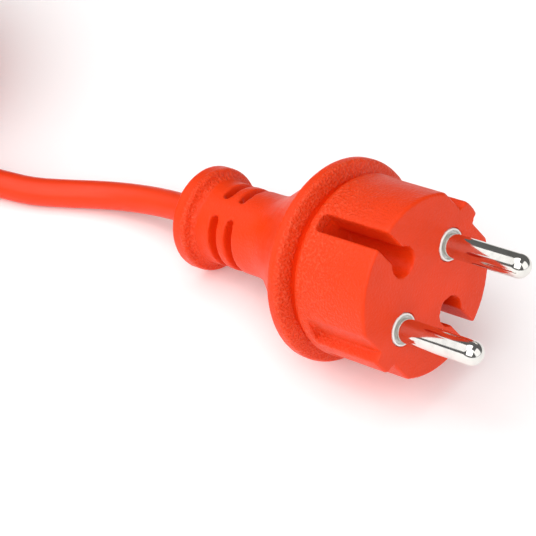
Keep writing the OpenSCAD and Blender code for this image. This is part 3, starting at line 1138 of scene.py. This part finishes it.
@dataclass
class Lid:
    """The sprung lid: a dished disc with a thumb tab, knuckles, a seal, a pin and a spring."""

    radius: float = 23.0
    back: float = 1.3
    thickness: float = 1.9
    knuckle: float = 2.4
    bore: float = 1.08
    hinge_x: float = 0.8
    hinge_z: float = 26.2
    knuckle_sides: tuple[float, float] = (2.2, 5.7)
    tab_half: float = 7.0
    tab: float = 3.5
    spring_radius: float = 1.65
    spring_half: float = 1.6
    spring_turns: int = 4
    spring_leg_at: float = 150.0
    wire: float = 0.3
    voxel: float = 0.3

    def disc(self) -> Solid:
        """The disc, with a rounded rim, a raised border and a shallow dish."""
        x0, x1, r = self.back, self.back + self.thickness, self.radius
        return Solid.turned([
            (x1 - 0.35, 0),
            (x1 - 0.4, 12),
            (x1 - 0.45, 18.2),
            (x1 - 0.05, 19.0),
            (x1, 19.6),
            *arc((x1 - 0.7, r - 0.7), 0.7, 0, 90, 5),
            *arc((x0 + 0.3, r - 0.3), 0.3, 90, 180, 3),
            (x0, 22.5),
            (x0 + 0.5, 22.5),
            (x0 + 0.5, 20.5),
            (x0, 20.5),
            (x0, 0),
        ])

    def hinge(self, radius: float, start: float, end: float) -> Solid:
        """A cylinder on the hinge's axis, from start to end."""
        return Solid.crossbar(radius, start, end, self.hinge_x, self.hinge_z)

    def make(self) -> list[bpy.types.Object]:
        """Builds the lid, its seal and the spring."""
        x0, x1, rim = self.back, self.back + self.thickness, self.radius
        near, far = self.knuckle_sides
        lid = self.disc()
        tab = Solid.block((x0 + 0.1, -self.tab_half, -rim - self.tab), (x1 - 0.1, self.tab_half, 3 - rim))
        lid.combined(tab, "UNION")
        for low, high in ((near, far), (-far, -near)):
            lid.combined(Solid.block((x0, low, 20), (x1, high, self.hinge_z)), "UNION")
            lid.combined(self.hinge(self.knuckle, low, high), "UNION")
        for z in (-24.0, -25.2):
            lid.combined(Solid.crossbar(0.35, -5.5, 5.5, x1 - 0.1, z, 16), "UNION")
        lid.combined(self.hinge(self.bore, -12, 12), "DIFFERENCE")
        lid.softened(self.voxel, 2)
        made = [lid.piece("lid_moulding", COUPLER, Slot.BLACK, ["lid"], Body.LID)]
        made.append(self.seal().piece("seal_ring", COUPLER, Slot.SEAL, ["lid_seal"], Body.LID))
        made.append(self.spring())
        return made

    def seal(self) -> Solid:
        """The ring in the lid's groove, with a round lip."""
        lip = 0.3
        outline = [
            (0.3, 21.2),
            *arc((0.6, 21.5), lip, 180, 90, 3),
            (1.1, 22.0),
            (1.3, 22.42),
            (1.78, 22.42),
            (1.78, 20.58),
            (1.3, 20.58),
            (1.1, 21.0),
            *arc((0.6, 21.5), lip, -90, -150, 2),
        ]
        return Solid.turned(outline, closed=True)

    def spring(self) -> bpy.types.Object:
        """The torsion spring on the hinge pin, with a leg on the head."""
        steps, radius, half = 24 * self.spring_turns, self.spring_radius, self.spring_half
        turns = [math.tau * self.spring_turns * i / steps for i in range(steps + 1)]
        coils = [
            (radius * math.cos(turn), half * (2 * i / steps - 1), radius * math.sin(turn))
            for i, turn in enumerate(turns)
        ]
        leg = [(-0.75 - 0.1 * i, -half, -0.9 - 0.55 * i) for i in (3, 2, 1)]
        curve = bpy.data.curves.new("hinge_spring", "CURVE")
        curve.dimensions, curve.bevel_depth, curve.bevel_resolution = "3D", self.wire * MM, 3
        curve.use_fill_caps = True
        spline = curve.splines.new("POLY")
        turn = Matrix.Rotation(math.radians(self.spring_leg_at), 4, "Y")
        path = leg + [tuple(turn @ Vector(p)) for p in coils]
        spline.points.add(len(path) - 1)
        for knot, (x, y, z) in zip(spline.points, path):
            spot = COUPLER @ (Vector((self.hinge_x + x, y, self.hinge_z + z)) * MM)
            knot.co = (*spot, 1)
        item = bpy.data.objects.new("hinge_spring", curve)
        bpy.context.scene.collection.objects.link(item)
        dress(item, Slot.SPRING)
        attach(item, Body.ROOT.value)
        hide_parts("lid_spring")
        LOG.info("hinge_spring: %d points", len(path))
        return item


# ------------------------------------------------------------------------------------- studio


@dataclass
class Studio:
    """The camera, the pale floor and the soft lights."""

    eye: tuple[float, float, float] = (0.22795, -0.27728, 0.34641)
    tilt: float = 47.5466
    turn: float = 41.8792
    lens: float = 166.907
    sensor: float = 36.0
    aim: tuple[float, float, float] = (0.0, 0.0, 0.02)
    floor_glow: float = 0.12
    surroundings: float = 0.14

    def camera(self) -> None:
        """Sets the camera up."""
        data = bpy.data.cameras.new("camera")
        data.lens, data.sensor_width, data.clip_start = self.lens, self.sensor, 0.01
        item = bpy.data.objects.new("camera", data)
        item.location = self.eye
        item.rotation_euler = (math.radians(self.tilt), 0, math.radians(self.turn))
        bpy.context.scene.collection.objects.link(item)
        bpy.context.scene.camera = item

    def light(self, name: str, spot: Sequence[float], size: float, power: float) -> None:
        """Adds a square soft light that faces the plug.

        Args:
            name: Its name.
            spot: Where it stands, in metres.
            size: Length of a side, in metres.
            power: Power in watts.
        """
        data = bpy.data.lights.new(name, "AREA")
        data.size, data.energy = size, power
        item = bpy.data.objects.new(name, data)
        item.location = spot
        item.rotation_euler = (Vector(self.aim) - Vector(spot)).to_track_quat("-Z", "Y").to_euler()
        bpy.context.scene.collection.objects.link(item)

    def floor(self) -> None:
        """Lays the floor."""
        mesh = bmesh.new()
        bmesh.ops.create_grid(mesh, x_segments=1, y_segments=1, size=2.0)
        data = bpy.data.meshes.new("floor")
        mesh.to_mesh(data)
        mesh.free()
        item = bpy.data.objects.new("floor", data)
        bpy.context.scene.collection.objects.link(item)
        s = Shader("floor_paper")
        fine = s.bump(s.noise(0.8, 3.0), 0.01)
        paper = s.finish(
            Base_Color=(0.95, 0.95, 0.95, 1),
            Roughness=0.85,
            Normal=fine,
            Emission_Color=(1, 1, 1, 1),
            Emission_Strength=self.floor_glow,
        )
        item.data.materials.append(paper)

    def make(self) -> None:
        """Sets up the floor, the lights and the surroundings."""
        self.floor()
        self.light("key", (0.15, -0.65, 0.65), 1.0, 7.4)
        self.light("side", (0.85, 0.15, 0.5), 1.0, 3.5)
        self.light("left", (-0.7, -0.35, 0.5), 0.8, 2.2)
        self.light("top", (-0.3, -0.1, 0.95), 0.8, 4.0)
        world = bpy.data.worlds.new("surroundings")
        world.use_nodes = True
        background = world.node_tree.nodes["Background"]
        background.inputs["Color"].default_value = (1, 1, 1, 1)
        background.inputs["Strength"].default_value = self.surroundings
        bpy.context.scene.world = world
        bpy.context.scene.view_settings.view_transform = "Standard"


NODE_FINISHES: dict[str, Slot] = {
    "plug_brown_core": Slot.BROWN,
    "plug_blue_core": Slot.BLUE,
    "plug_brown_strands": Slot.COPPER,
    "plug_blue_strands": Slot.COPPER,
    "socket_insert": Slot.GREY,
    "contact_retainer": Slot.WHITE,
    "brown_contact": Slot.BRASS,
    "blue_contact": Slot.BRASS,
    "coupler_brown_core": Slot.BROWN,
    "coupler_blue_core": Slot.BLUE,
    "coupler_brown_strands": Slot.COPPER,
    "coupler_blue_strands": Slot.COPPER,
    "hinge_pin": Slot.STEEL,
}


def main() -> None:
    """Sets the camera up, builds and dresses every piece, and sets up the floor, lights and surroundings."""
    logging.basicConfig(level=logging.INFO, format="%(message)s")
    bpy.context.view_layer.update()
    studio, neck, cord = Studio(), Neck(), Cord()
    studio.camera()
    for name, slot in NODE_FINISHES.items():
        dress(frame["nodes"][name], slot)
    on_cord = [frame["nodes"][name] for name in NODE_FINISHES if not name.startswith("plug")]
    on_cord += [Tie().make(cord), CouplerBody().make(neck), *Lid().make()]
    cord.make(on_cord)
    PlugBody().make(neck)
    Pins().make()
    studio.make()


if __name__ == "__main__":
    main()
